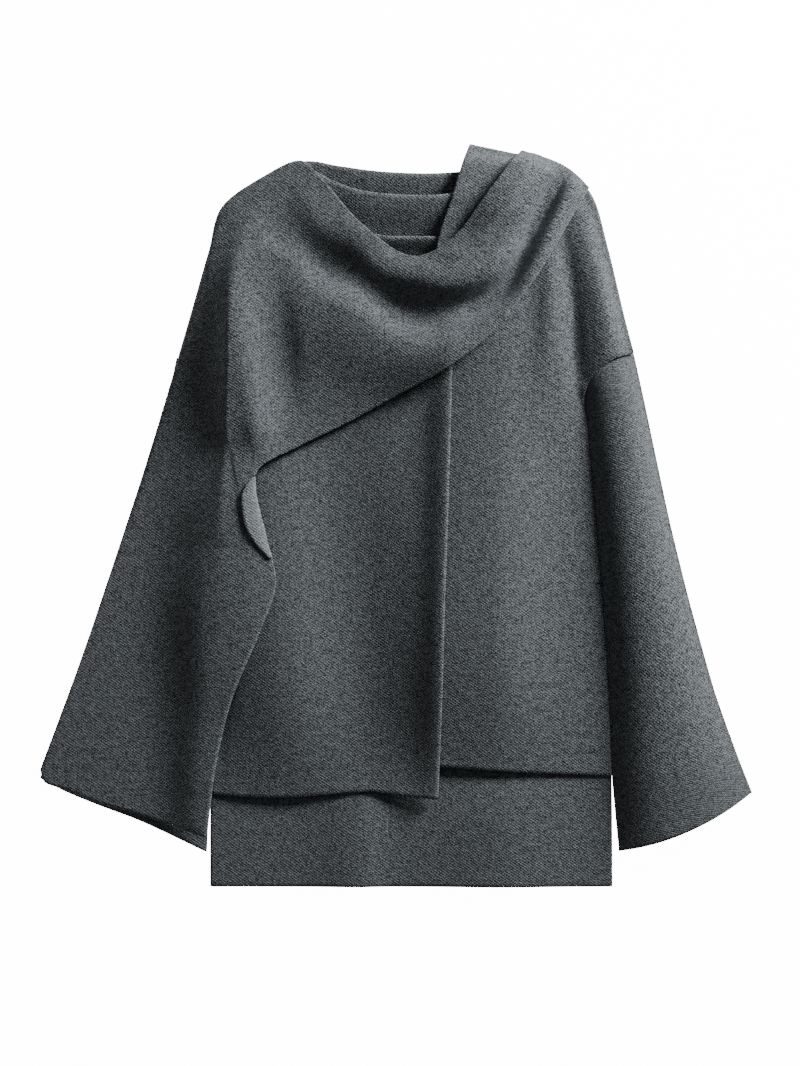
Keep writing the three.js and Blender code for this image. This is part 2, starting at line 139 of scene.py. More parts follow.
LEFT_FRONT = {
    "courses": [
        (1, -274, 238, -286),
        (-1, -200, 234.5, -200),
        (-4, -100, 228, -95),
        (-10, -20, 219, 16),
        (-24, 60, 212.5, 92),
        (-38, 130, 208, 132),
        (-56, 210, 219.7, 154.8),
        (-78, 300, 237.7, 170.1),
        (-98, 384, 262, 178),
    ],
    "hem": [(1, -274), (51, -276), (144, -282), (238, -286)],
    "top": [
        (-98, 384),
        (-72, 368),
        (-40, 355),
        (6, 349),
        (61, 350),
        (105, 363),
        (138, 389),
        (196, 369),
        (215, 351),
        (233, 294),
        (247, 236),
        (262, 178),
    ],
    "held": [("right", 18, -1, 0.66), ("left", 12, -1, 2), ("top", 11, 0.52, 1)],
    "cut": [("hem", 0, 1), ("top", 0, 0.54)],
    "folds": [
        # The broad crown, which falls away more and more steeply to the side
        fold(
            (120, 352, 5, 50, 46),
            (118, 240, 14, 62, 56),
            (112, 120, 21, 56, 92),
            (108, -20, 24, 54, 140),
            (108, -160, 22, 54, 150),
            (110, -285, 3, 60, 140),
        ),
        # The narrower crown above it, beside the shoulder
        fold(
            (170, 300, 6, 22, 14),
            (172, 236, 10, 26, 15),
            (172, 181, 10, 28, 18),
            (170, 110, 4, 28, 26),
        ),
        # The valley between the crowns and the shoulder
        fold(
            (182, 310, -3, 9, 10),
            (194, 240, -5, 9, 11),
            (198, 181, -6, 9, 11),
            (201, 150, -4, 9, 10),
        ),
        SHOULDER_CROWN,
        # The lift of the neckline off the back
        fold(
            (-60, 356, 5, 14, 30),
            (-38, 350, 10, 14, 34),
            (6, 346, 13, 14, 36),
            (66, 348, 13, 14, 36),
            (108, 360, 5, 14, 30),
        ),
    ],
}

RIGHT_FRONT = {
    "courses": [
        (-201, -306, 47, -311),
        (-193, -200, 51, -204),
        (-184, -95, 54, -94),
        (-173, 16, 58, 16),
        (-163, 110, 61, 120),
        (-172, 204, 64, 215),
        (-183, 338, 67, 301),
    ],
    "hem": [(-201, -306), (-159, -309), (-110, -309), (-71, -306), (-27, -303), (6, -307), (47, -311)],
    "top": [(-183, 338), (-146, 366), (-105, 381), (-87, 356), (-60, 326), (-21, 306), (40, 303), (67, 301)],
    "held": [("left", 12, -1, 2)],
    "cut": [("hem", 0, 1), ("right", 0, 1), ("top", 0.3, 1)],
    "folds": [
        # The crown left of the middle
        fold(
            (-142, 150, 1, 50, 40),
            (-138, 40, 9, 50, 54),
            (-128, -80, 16, 56, 64),
            (-118, -200, 17, 56, 64),
            (-112, -309, 3, 56, 64),
        ),
        # The free edge, which stands off the other front
        fold(
            (62, 200, 6, 40, 20),
            (59, 60, 9, 50, 20),
            (54, -94, 11, 56, 20),
            (50, -204, 10, 58, 20),
            (47, -311, 4, 58, 20),
        ),
        # The lip at the neck, which drops away into the hollow under the cowl
        fold(
            (-60, 324, 3, 10, 13),
            (-21, 307, 9, 10, 14),
            (40, 304, 11, 10, 14),
            (67, 303, 9, 10, 14),
        ),
    ],
}

CAPE_BACK = {
    "courses": [
        (-389, -289, -207, -370),
        (-362, -212, -204, -300),
        (-311, -61, -195, -190),
        (-269, 66, -184, -70),
        (-250, 122, -174, 30),
        (-239, 173, -163.5, 107),
    ],
    "hem": [(-389, -289), (-365, -302), (-324, -319), (-279, -336), (-207, -370)],
    "held": [],
    "cut": [("hem", 0, 1)],
    "folds": [],
}

CAPE_SCARF = {
    "courses": [
        (-389, -280, -206, -353),
        (-348, -170, -196, -275),
        (-292, -6, -179, -204),
        (-241, 160, -146, -124),
        (-203, 292, -130, -75),
        (-190, 337, -140, -25),
        (-146, 370, -152, 30),
        (-103, 388, -149, 50),
        (-82, 370, -104, 76),
        (-36, 317, -49, 103),
        (15, 282, 12, 136),
        (40, 285, 50, 156),
        (70, 307, 96, 190),
        (100, 347, 149, 253),
        (139, 399, 213, 359),
    ],
    "hem": [(-389, -280), (-384, -293), (-365, -300), (-324, -316), (-279, -329), (-206, -353)],
    "top": [(139, 399), (168, 391), (190, 381), (213, 359)],
    "held": [("left", 12, -1, 0.52), ("top", 8, -1, 2)],
    "cut": [("hem", 0, 1), ("right", 0, 1)],
    "folds": [
        # The cowl's rolled edge, which stands high round the neck
        fold(
            (-104, 356, 2, 14, 18),
            (-76, 311, 7, 22, 19),
            (-43, 294, 10, 24, 20),
            (-12, 267, 13, 24, 20),
            (10, 259, 16, 24, 20),
            (30, 254, 19, 26, 20),
            (50, 251, 21, 28, 21),
            (70, 252, 23, 30, 20),
            (88, 257, 23, 30, 18),
            (104, 266, 21, 28, 16),
            (119, 279, 17, 26, 15),
            (132, 296, 10, 24, 14),
            (141, 316, 4, 20, 14),
        ),
        # The broad band that it widens into over the shoulder, with a hard lower edge
        band(
            (60, 270, 1, 34, 26),
            (84, 285, 4, 42, 26),
            (104, 304, 9, 44, 25),
            (124, 333, 16, 40, 23),
            (145, 364, 14, 36, 20),
            (160, 390, 5, 34, 20),
        ),
        # The crease beside the band
        fold(
            (66, 228, -4, 12, 12),
            (92, 232, -12, 14, 14),
            (116, 246, -18, 12, 14),
            (134, 272, -17, 9, 14),
            (149, 304, -14, 7, 13),
            (164, 336, -13, 6, 13),
            (181, 368, -10, 6, 11),
        ),
        # The second ridge, nearer the scarf's lower edge
        fold(
            (-118, 276, 8, 20, 50),
            (-88, 238, 17, 26, 74),
            (-54, 225, 21, 26, 76),
            (-20, 201, 20, 25, 70),
            (4, 189, 17, 24, 58),
            (28, 180, 15, 24, 48),
            (54, 178, 14, 24, 40),
            (94, 196, 14, 20, 30),
            (120, 223, 15, 20, 26),
            (138, 251, 18, 19, 20),
            (153, 281, 19, 16, 17),
            (168, 309, 18, 13, 15),
            (182, 338, 15, 11, 13),
            (197, 366, 10, 10, 12),
        ),
        # The crease that stands off the arm, with a sharp crest
        crease(
            (-166, 311, 8, 44, 26),
            (-178, 250, 22, 52, 28),
            (-181, 181, 31, 58, 30),
            (-182, 126, 28, 60, 32),
            (-184, 71, 21, 54, 34),
            (-188, 16, 14, 54, 38),
            (-193, -40, 3, 54, 40),
        ),
        # The second, lower crest beside it, which falls steeply to the front
        fold(
            (-172, 262, 1, 12, 16),
            (-165, 205, 6, 13, 17),
            (-160, 160, 7, 14, 17),
            (-152, 125, 8, 14, 17),
            (-148, 90, 9, 13, 16),
            (-143, 62, 2, 12, 14),
        ),
        # The soft ridge that it runs out into, down to the cuff
        fold(
            (-193, 71, 2, 58, 44),
            (-196, 16, 10, 58, 44),
            (-197, -40, 18, 58, 44),
            (-203, -93, 20, 58, 42),
            (-205, -148, 18, 58, 38),
            (-205, -203, 16, 58, 34),
            (-211, -270, 14, 58, 30),
            (-214, -335, 12, 58, 28),
        ),
        # The hollow of the cape under the second ridge
        fold(
            (-130, 266, -2, 16, 24),
            (-126, 218, -6, 17, 30),
            (-122, 170, -7, 17, 32),
            (-118, 130, -5, 16, 32),
            (-114, 98, -1, 14, 28),
        ),
    ],
}

SCARF_PLEAT = {
    "courses": [
        (46, 290, 66, 283),
        (52, 313, 92, 306),
        (64, 348, 126, 345),
        (75, 385, 147, 376),
        (83, 407, 158, 391),
    ],
    "held": [("top", 12, -1, 2)],
    "cut": [("left", 0, 1)],
    "folds": [
        # It rises towards its edge
        fold(
            (66, 283, 3, 30, 30),
            (94, 308, 5, 38, 30),
            (127, 346, 6, 46, 30),
            (155, 391, 5, 50, 30),
        ),
    ],
}

SCARF_TAIL = {
    "courses": [(28, 226, 148, 190), (58, 322, 182, 276), (84, 403, 213, 352)],
    "top": [(84, 403), (146, 394), (191, 378), (213, 352)],
    "held": [],
    "cut": [],
    "folds": [],
}

# The cape's free edge turns back beside the arm: y along the edge, and the width of the turned strip.
TURNED_EDGE = [
    (-50, 0),
    (-42, 5),
    (-33, 11.5),
    (-20, 17),
    (-10, 19),
    (0, 18),
    (11, 17),
    (22, 14.5),
    (32, 9),
    (42, 0),
]

# Each ring of the sleeve runs from its inner edge to its outer edge: x and y of both.
# Then come how far its middle bows towards the cuff, where its upper wall stands highest, and how high.
SLEEVE = [
    (210.3, 131.2, 261.2, 176, -11.6, 0.56, 14),
    (212.5, 110, 273, 122, -5, 0.56, 17),
    (218.2, 50, 286, 60, 0, 0.53, 20),
    (224.2, -20, 301, -10, 0, 0.52, 22),
    (231.3, -100, 322, -95, 1, 0.5, 24),
    (237.3, -190, 350, -195, 3, 0.47, 25),
    (241.3, -285, 376, -268, 5, 0.42, 24),
    (249, -369, 391, -306, 8, 0.4, 20),
]


def linear(hex_colour):
    """The linear values of an sRGB colour written as hex."""
    parts = [int(hex_colour[i : i + 2], 16) / 255 for i in (0, 2, 4)]
    return tuple(c / 12.92 if c <= 0.04045 else ((c + 0.055) / 1.055) ** 2.4 for c in parts)


class KnitSettings(bpy.types.PropertyGroup):
    """Sizes of the felted knit and of its grid."""

    cloth: bpy.props.FloatProperty(
        name="Cloth thickness",
        description="Thickness of the felted knit, in millimetres",
        default=2.4,
    )
    gap: bpy.props.FloatProperty(
        name="Gap",
        description="Room between pieces that lie on each other, in millimetres",
        default=0.3,
    )
    grid: bpy.props.FloatProperty(
        name="Grid",
        description="Spacing of the points of a panel, in millimetres",
        default=3.6,
    )
    bridging: bpy.props.FloatProperty(
        name="Bridging",
        description="How far the cloth bridges a step below it, in millimetres",
        default=50,
    )
    stitch_width: bpy.props.FloatProperty(
        name="Stitch width",
        description="Width of one stitch, in millimetres",
        default=4.4,
    )
    stitch_height: bpy.props.FloatProperty(
        name="Stitch height",
        description="Height of one stitch, in millimetres",
        default=3.1,
    )


class YarnSettings(bpy.types.PropertyGroup):
    """Colours of the charcoal melange yarn."""

    dark: bpy.props.FloatVectorProperty(
        name="Dark fibres",
        description="The darkest fibres in the yarn",
        subtype="COLOR",
        size=3,
        default=linear("17191b"),
    )
    light: bpy.props.FloatVectorProperty(
        name="Light fibres",
        description="The lightest fibres in the yarn",
        subtype="COLOR",
        size=3,
        default=linear("8b9195"),
    )
    reverse: bpy.props.FloatVectorProperty(
        name="Reverse fibres",
        description="The lighter fibres of the cloth's reverse side",
        subtype="COLOR",
        size=3,
        default=linear("a2a9ad"),
    )
    # The pale colour of cut edges: bare fibres, and a painted highlight along the edge.
    bare_edge_and_highlight: bpy.props.FloatVectorProperty(
        name="Cut edge",
        description="The pale fibres along a cut edge",
        subtype="COLOR",
        size=3,
        default=linear("a9afb2"),
    )


class StageSettings(bpy.types.PropertyGroup):
    """The table, the lamps and the camera."""

    camera_height: bpy.props.FloatProperty(
        name="Camera height",
        description="Height of the camera above the table",
        unit="LENGTH",
        default=2.77,
    )
    lens: bpy.props.FloatProperty(
        name="Lens",
        description="Focal length, in millimetres",
        default=85,
    )
    key_power: bpy.props.FloatProperty(
        name="Key power",
        description="Power of the key light, in watts",
        default=140,
    )
    fill_power: bpy.props.FloatProperty(
        name="Fill power",
        description="Power of the light above, in watts",
        default=3,
    )
    table_colour: bpy.props.FloatVectorProperty(
        name="Table colour",
        description="Colour of the table top",
        subtype="COLOR",
        size=3,
        default=linear("f4f4f4"),
    )


def along(points, t):
    """Points of a centripetal Catmull-Rom curve through the given ones, at shares t of its spans."""
    p = np.array(points, float)
    p = np.vstack([2 * p[0] - p[1], p, 2 * p[-1] - p[-2]])
    place = np.clip(np.asarray(t, float), 0, 1) * (len(points) - 1)
    first = np.minimum(place.astype(int), len(points) - 2)
    share = (place - first)[:, None]
    p0, p1, p2, p3 = (p[first + i] for i in range(4))
    spans = ((p0, p1), (p1, p2), (p2, p3))
    d0, d1, d2 = (np.maximum(np.linalg.norm(b - a, axis=1)[:, None] ** 0.5, 1e-4) for a, b in spans)
    m1 = ((p1 - p0) / d0 - (p2 - p0) / (d0 + d1) + (p2 - p1) / d1) * d1
    m2 = ((p2 - p1) / d1 - (p3 - p1) / (d1 + d2) + (p3 - p2) / d2) * d1
    square = -3 * p1 + 3 * p2 - 2 * m1 - m2
    cube = 2 * p1 - 2 * p2 + m1 + m2
    return p1 + share * (m1 + share * (square + share * cube))


def even_shares(left, right, spacing):
    """Shares that cut two curves into even steps of about the given spacing."""
    t = np.linspace(0, 1, 40 * len(left))
    lengths = [np.linalg.norm(np.diff(along(side, t), axis=0), axis=1) for side in (left, right)]
    reach = np.concatenate([[0], np.cumsum((lengths[0] + lengths[1]) / 2)])
    count = int(np.ceil(reach[-1] / spacing))
    return np.interp(np.linspace(0, reach[-1], count + 1), reach, t)


def spread(panel, spacing):
    """A flat grid of points between a panel's edges, and the share of each of its columns and rows."""
    left = [row[:2] for row in panel["courses"]]
    right = [row[2:] for row in panel["courses"]]
    hem = panel.get("hem", [left[0], right[0]])
    top = panel.get("top", [left[-1], right[-1]])
    v = even_shares(left, right, spacing)
    widths = [np.linalg.norm(np.subtract(b, a)) for a, b in zip(left, right)]
    u = np.linspace(0, 1, int(np.ceil(max(widths) / spacing)) + 1)
    u_, v_ = u[None, :, None], v[:, None, None]
    flat = along(left, v)[:, None] * (1 - u_) + along(right, v)[:, None] * u_
    for line, end, weight in ((hem, 0, 1 - v_), (top, -1, v_)):
        straight = np.array(left[end])[None] * (1 - u[:, None]) + np.array(right[end])[None] * u[:, None]
        flat = flat + (along(line, u) - straight)[None] * weight
    return flat, u, v


def lift_by(each, x, y):
    """How far one fold lifts the cloth at each point, from the nearest place on its line."""
    rows = np.array(each["points"], float)
    t = np.linspace(0, 1, 49)
    line = along(rows[:, :3], t)
    reach = np.array([np.interp(t * (len(rows) - 1), np.arange(len(rows)), rows[:, k]) for k in (3, 4)]).T
    best = np.full(x.shape, np.inf)
    lift = np.zeros(x.shape)
    for i in range(len(t) - 1):
        ax, ay, ah = line[i]
        dx, dy = line[i + 1, 0] - ax, line[i + 1, 1] - ay
        share = np.clip(((x - ax) * dx + (y - ay) * dy) / (dx * dx + dy * dy), 0, 1)
        off_x, off_y = x - ax - share * dx, y - ay - share * dy
        away = off_x**2 + off_y**2
        nearer = away < best
        best = np.where(nearer, away, best)
        left, right = (reach[i, k] * (1 - share) + reach[i + 1, k] * share for k in range(2))
        width = np.where(dx * off_y - dy * off_x > 0, left, right)
        bell = np.exp(-((np.sqrt(away) / width) ** each["crest"]))
        height = ah * (1 - share) + line[i + 1, 2] * share
        lift = np.where(nearer, height * bell, lift)
    return lift


def mean_of_neighbours(z):
    """The mean of the neighbours that each point of a grid has."""
    total, count = np.zeros(z.shape), np.zeros(z.shape)
    for here, there in (
        (np.s_[1:, :], np.s_[:-1, :]),
        (np.s_[:-1, :], np.s_[1:, :]),
        (np.s_[:, 1:], np.s_[:, :-1]),
        (np.s_[:, :-1], np.s_[:, 1:]),
    ):
        total[here] += z[there]
        count[here] += 1
    return total / count


def normals_of(grid):
    """The direction that a grid of points faces at each of them."""
    rows = np.gradient(grid, axis=0)
    columns = np.gradient(grid, axis=1)
    normal = np.cross(columns, rows)
    return normal / np.maximum(np.linalg.norm(normal, axis=2, keepdims=True), 1e-9)


class Bed:
    """The height of the highest cloth laid so far over each square of the table."""

    cell = 2.5
    half = 440

    def __init__(self):
        side = int(2 * self.half / self.cell)
        self.heights = np.zeros((side, side))

    def index(self, points):
        squares = ((points[..., :2] + self.half) / self.cell).astype(int)
        squares = np.clip(squares, 0, len(self.heights) - 1)
        return squares[..., 0], squares[..., 1]

    def under(self, points):
        return self.heights[self.index(points)]

    def cover(self, grid):
        steps = 4
        for a in range(steps + 1):
            for b in range(steps + 1):
                s, t = a / steps, b / steps
                low = grid[:-1, :-1] * (1 - s) + grid[:-1, 1:] * s
                high = grid[1:, :-1] * (1 - s) + grid[1:, 1:] * s
                points = low * (1 - t) + high * t
                np.maximum.at(self.heights, self.index(points), points[..., 2])


bed = Bed()


def looseness(flat, held, u, v):
    """The share of its folds that a panel has at each point: none at an edge that is sewn down."""
    edges = {"left": flat[:, :1], "right": flat[:, -1:], "top": flat[-1:], "hem": flat[:1]}
    kept = np.ones(flat.shape[:2])
    for side, reach, start, end in held:
        away = np.linalg.norm(edges[side] - flat, axis=2)
        share = u[None, :] if side in ("top", "hem") else v[:, None]
        ramp = np.clip(np.minimum((share - start) / 0.15, (end - share) / 0.1), 0, 1)
        kept *= 1 - np.exp(-((away / reach) ** 2)) * ramp * ramp * (3 - 2 * ramp)
    return kept


def settle(flat, u, v, panel, below, knit):
    """Lets a flat grid down on what is below it: it bridges steps there, and takes its own folds."""
    half = knit.cloth / 2
    grid = np.dstack([flat, np.zeros(flat.shape[:2])])
    under = below.under(grid)
    least = np.where(under > 0, under + knit.gap, 0) + half
    z = least.copy()

    def clear():
        grid[..., 2] = z
        lower = grid - normals_of(grid) * half
        short = below.under(lower) + knit.gap - lower[..., 2]
        np.maximum(least, np.where((short > 0) & (below.under(lower) > 0), z + short, 0), out=least)

    passes = int(2 * (knit.bridging / knit.grid) ** 2)
    for turn in range(passes):
        z = np.maximum(least, mean_of_neighbours(z))
        if turn % 20 == 19:
            clear()
    lift = sum(lift_by(each, flat[..., 0], flat[..., 1]) for each in panel["folds"])
    loose = looseness(flat, panel["held"], u, v)
    z = np.maximum(least, least * (1 - loose) + (z + lift) * loose)
    for _ in range(10):
        clear()
        z = np.maximum(least, z)
    for _ in range(3):
        z = mean_of_neighbours(z)
    grid[..., 2] = z
    return grid


def cut_shape(grid):
    """The flat shape that the cloth of a grid was cut to: each of its lengths is as in the folded cloth."""
    place = grid[..., :2].copy()
    pairs = [
        (np.s_[1:, :], np.s_[:-1, :]),
        (np.s_[:, 1:], np.s_[:, :-1]),
        (np.s_[1:, 1:], np.s_[:-1, :-1]),
        (np.s_[1:, :-1], np.s_[:-1, 1:]),
    ]
    lengths = [np.linalg.norm(grid[a] - grid[b], axis=2) for a, b in pairs]
    for _ in range(400):
        shift, count = np.zeros(place.shape), np.zeros(place.shape[:2])
        for (a, b), length in zip(pairs, lengths):
            gap = place[a] - place[b]
            now = np.maximum(np.linalg.norm(gap, axis=2), 1e-6)
            pull = gap * (0.5 * (length - now) / now)[..., None]
            shift[a] += pull
            shift[b] -= pull
            count[a] += 1
            count[b] += 1
        place += shift / count[..., None] * 1.6
    return place


def wall(grid, thickness, bulge=0.9):
    """The points and faces of a closed wall of cloth round a grid, with a rounded edge."""
    rows, columns = grid.shape[:2]
    normal = normals_of(grid)
    upper = grid + normal * thickness / 2
    lower = grid - normal * thickness / 2
    number = np.arange(rows * columns).reshape(rows, columns)
    ring = np.concatenate([number[0, :-1], number[:-1, -1], number[-1, :0:-1], number[:0:-1, 0]])
    flat = grid.reshape(-1, 3)
    side = np.roll(flat[ring], -1, axis=0) - np.roll(flat[ring], 1, axis=0)
    outward = np.cross(side, normal.reshape(-1, 3)[ring])
    outward /= np.maximum(np.linalg.norm(outward, axis=1, keepdims=True), 1e-9)
    edge = flat[ring] + outward * bulge
    points = np.vstack([upper.reshape(-1, 3), lower.reshape(-1, 3), edge])
    a, b, c, d = number[:-1, :-1], number[:-1, 1:], number[1:, 1:], number[1:, :-1]
    total = rows * columns
    top = np.stack([a, b, c, d], axis=-1).reshape(-1, 4)
    bottom = np.stack([a, d, c, b], axis=-1).reshape(-1, 4) + total
    after = np.roll(ring, -1)
    middle = 2 * total + np.arange(len(ring))
    rim_top = np.stack([after, ring, middle, np.roll(middle, -1)], axis=-1)
    rim_low = np.stack([np.roll(middle, -1), middle, ring + total, after + total], axis=-1)
    return points, np.vstack([top, bottom, rim_top, rim_low]), ring


def object_from(name, points, faces, layout, rim, reverse=0):
    """A smooth mesh in metres, with its cut shape as its UV map, and its rims and reverse side marked."""
    mesh = bpy.data.meshes.new(name)
    place = np.array(points) * MM
    place[:, :2] += CENTRE * MM
    mesh.from_pydata(place.tolist(), [], faces.tolist())
    uv = mesh.uv_layers.new(name="cut")
    uv.data.foreach_set("uv", (np.array(layout)[faces.ravel()] * MM).ravel())
    for mark, values in (("rim", rim), ("reverse", reverse)):
        attribute = mesh.attributes.new(mark, "FLOAT", "POINT")
        attribute.data.foreach_set("value", np.broadcast_to(np.asarray(values, float), len(points)).copy())
    mesh.polygons.foreach_set("use_smooth", np.ones(len(faces), bool))
    mesh.validate()
    piece = bpy.data.objects.new(name, mesh)
    bpy.context.collection.objects.link(piece)
    return piece


def nearness_of_cut(flat, cut, u, v):
    """1 on the cut edges of a grid, and 0 from a few millimetres inside them and on its sewn edges."""
    edges = {"left": flat[:, :1], "right": flat[:, -1:], "top": flat[-1:], "hem": flat[:1]}
    near = np.zeros(flat.shape[:2])
    for side, start, end in cut:
        away = np.linalg.norm(edges[side] - flat, axis=2)
        share = u[None, :] if side in ("top", "hem") else v[:, None]
        near = np.maximum(near, np.exp(-((away / 1.6) ** 2)) * ((share >= start) & (share <= end)))
    return near


def cloth_size(layout, grid):
    """The width, length and area of a flat cut shape, in metres."""
    across = np.cross(grid[1:, :-1] - grid[:-1, :-1], grid[:-1, 1:] - grid[:-1, :-1])
    area = np.linalg.norm(across, axis=2).sum() * MM * MM
    spans = (layout.reshape(-1, 2).max(axis=0) - layout.reshape(-1, 2).min(axis=0)) * MM
    return tuple(float(s) for s in spans), float(area)


def turned_strip(grid, widths, knit):
    """The strip of a panel that turns back over its right-hand edge and stands a little off it."""
    ys, spans = np.array(widths, float).T
    edge = grid[:, -1]
    edge = edge[(edge[:, 1] > ys[0]) & (edge[:, 1] < ys[-1]) & (np.arange(len(edge)) < len(edge) * 0.6)]
    span = np.interp(edge[:, 1], ys, spans)
    share = np.linspace(1, 0, 8)
    strip = np.repeat(edge[:, None], len(share), axis=1)
    strip[..., 0] += 0.6 - share * (span[:, None] + 0.6)
    lying = bed.under(strip) + knit.gap + knit.cloth * 0.4
    for _ in range(3):
        lying = mean_of_neighbours(lying)
    turn = np.minimum(share * 5, 1)
    folded = edge[:, None, 2] + knit.cloth * 0.55
    strip[..., 2] = folded * (1 - turn) + (lying + 0.06 * span[:, None] * share + 0.3) * turn
    return strip


def lay_panel(name, node, panel, knit, below=None, turned_edge=None):
    """Lays one panel of cloth on the bed and dresses its CAD node with it."""
    flat, u, v = spread(panel, knit.grid)
    grid = settle(flat, u, v, panel, below or bed, knit)
    bed.cover(grid + normals_of(grid) * knit.cloth / 2)
    layout = cut_shape(grid)
    points, faces, ring = wall(grid, knit.cloth)
    flat_layout = layout.reshape(-1, 2)
    near = nearness_of_cut(flat, panel["cut"], u, v).ravel()
    all_layout = np.vstack([flat_layout, flat_layout, flat_layout[ring]])
    rim = np.concatenate([near, near, near[ring]])
    reverse = np.zeros(len(points))
    if turned_edge:
        strip = turned_strip(grid, turned_edge, knit)
        strip_points, strip_faces, strip_ring = wall(strip, knit.cloth * 0.8, 0.7)
        faces = np.vstack([faces, strip_faces + len(points)])
        points = np.vstack([points, strip_points])
        all_layout = np.vstack([all_layout, strip_points[:, :2]])
        edge = np.zeros(strip.shape[:2])
        edge[:, 0] = 1
        rim = np.concatenate([rim, edge.ravel(), edge.ravel(), edge.ravel()[strip_ring]])
        reverse = np.concatenate([reverse, np.ones(len(strip_points))])
    piece = object_from(name, points, faces, all_layout, rim, reverse)
    dress(piece, node)
    size, area = cloth_size(layout, grid)
    return piece, size, min(area, 0.999 * size[0] * size[1])


def dress(piece, *nodes):
    """Makes a piece of cloth stand for its CAD nodes."""
    piece.data.materials.append(felted_knit())
    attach(piece, "root")
    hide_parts(*nodes)


def lay_sleeve(name, node, knit):
    """Lays the flattened tube of the sleeve beside the body."""
    rings = np.array(SLEEVE, float)
    length = np.linalg.norm(np.diff(rings[:, 2:4], axis=0), axis=1).sum()
    count = int(length / knit.grid)
    t = np.linspace(0, 1, count + 1)
    values = [along(np.column_stack([np.arange(len(rings)), rings[:, k]]), t)[:, 1] for k in range(7)]
    inner = np.column_stack(values[:2])
    outer = np.column_stack(values[2:4])
    bow, highest, arch = values[4], values[5][:, None], values[6][:, None]
    outward = outer - inner
    width = np.linalg.norm(outward, axis=1)
    outward /= width[:, None]
    to_cuff = np.column_stack([outward[:, 1], -outward[:, 0]])
    across = int(width.max() / knit.grid)
    turn = 6
    crossing = np.linspace(0, 1, across + 1)
    turning = np.arange(1, turn) / turn
    share = np.concatenate([crossing, np.ones(turn - 1), crossing[::-1], np.zeros(turn - 1)])
    wall_of = np.concatenate([np.zeros(across + 1), turning, np.ones(across + 1), 1 - turning])
    place = inner[:, None] * (1 - share)[None, :, None] + outer[:, None] * share[None, :, None]
    place = place + (4 * bow[:, None] * (share * (1 - share))[None, :])[..., None] * to_cuff[:, None]
    inner_side, outer_side = (highest - share[None]) / highest, (share[None] - highest) / (1 - highest)
    from_top = np.where(share[None] < highest, inner_side, outer_side)
    lift = arch * (1 - from_top**2.2)
    step = knit.cloth + knit.gap
    half = knit.cloth / 2
    angle = np.pi * wall_of
    on_fold = (wall_of > 0) & (wall_of < 1)
    radius = np.where(on_fold, step / 2, 0)
    sign = np.where(share > 0.5, 1, -1)
    place = place + (radius * np.sin(angle) * sign)[None, :, None] * outward[:, None]
    height = half + step / 2 - step / 2 * np.cos(angle)
    upper = wall_of == 1
    z = np.where(upper[None], half + step + lift, height[None])
    grid = np.dstack([place, z])
    # The seam allowance of the sleeve's head turns down under the front's armhole.
    allowance = np.where(on_fold, (1 - np.cos(angle)) / 2, upper * 1.0)
    turned = grid[0].copy()
    turned[:, :2] -= to_cuff[0] * 4.5 * allowance[:, None]
    turned[:, 2] -= 3.6 * allowance
    grid = np.concatenate([turned[None], grid])
    t = np.concatenate([[-4.5 / length], t])
    # The tube's own normals, from its closed ring of points
    rows_way = np.gradient(grid, axis=0)
    ring_way = np.roll(grid, -1, axis=1) - np.roll(grid, 1, axis=1)
    normal = np.cross(rows_way, ring_way)
    normal /= np.maximum(np.linalg.norm(normal, axis=2, keepdims=True), 1e-9)
    if normal[len(t) // 2, across // 2, 2] > 0:
        normal = -normal
    outside = grid + normal * half
    inside = grid - normal * half
    rows, columns = grid.shape[:2]
    number = np.arange(rows * columns).reshape(rows, columns)
    nxt = np.roll(number, -1, axis=1)
    outer_faces = np.stack([number[:-1], number[1:], nxt[1:], nxt[:-1]], axis=-1).reshape(-1, 4)
    total = rows * columns
    inner_faces = outer_faces[:, ::-1] + total
    low_end = np.stack([number[0], nxt[0], nxt[0] + total, number[0] + total], axis=-1)
    high_end = np.stack([nxt[-1], number[-1], number[-1] + total, nxt[-1] + total], axis=-1)
    faces = np.vstack([outer_faces, inner_faces, low_end, high_end])
    points = np.vstack([outside.reshape(-1, 3), inside.reshape(-1, 3)])
    # The cut shape: the ring's own length across, and the sleeve's length along
    ring_length = np.linalg.norm(np.diff(grid, axis=1), axis=2)
    layout_u = np.concatenate([np.zeros((rows, 1)), np.cumsum(ring_length, axis=1)], axis=1)
    layout_u -= layout_u.mean(axis=1, keepdims=True)
    layout_v = np.broadcast_to((t * length)[:, None], layout_u.shape)
    layout = np.dstack([layout_u, layout_v]).reshape(-1, 2)
    # The cuff's end is marked for the pale cut-edge colour, which is partly a painted highlight.
    near = np.exp(-(((1 - t) * length / 2.5) ** 2))
    rim = np.broadcast_to(near[:, None], (rows, columns)).ravel()
    piece = object_from(name, points, faces, np.vstack([layout, layout]), np.concatenate([rim, rim]))
    dress(piece, node)
    closing = np.linalg.norm(grid[:, 0] - grid[:, -1], axis=1)
    around = float(ring_length.sum(axis=1).mean() + closing.mean()) * MM
    return piece, (around, length * MM)


def add_node(material, kind, inputs=None, **settings):
    """Adds one shader node, sets it up and links its inputs."""
    node = material.node_tree.nodes.new(kind)
    for name, value in settings.items():
        setattr(node, name, value)
    for key, value in (inputs or {}).items():
        socket = node.inputs[key]
        if isinstance(value, bpy.types.NodeSocket):
            material.node_tree.links.new(value, socket)
        else:
            socket.default_value = value
    return node


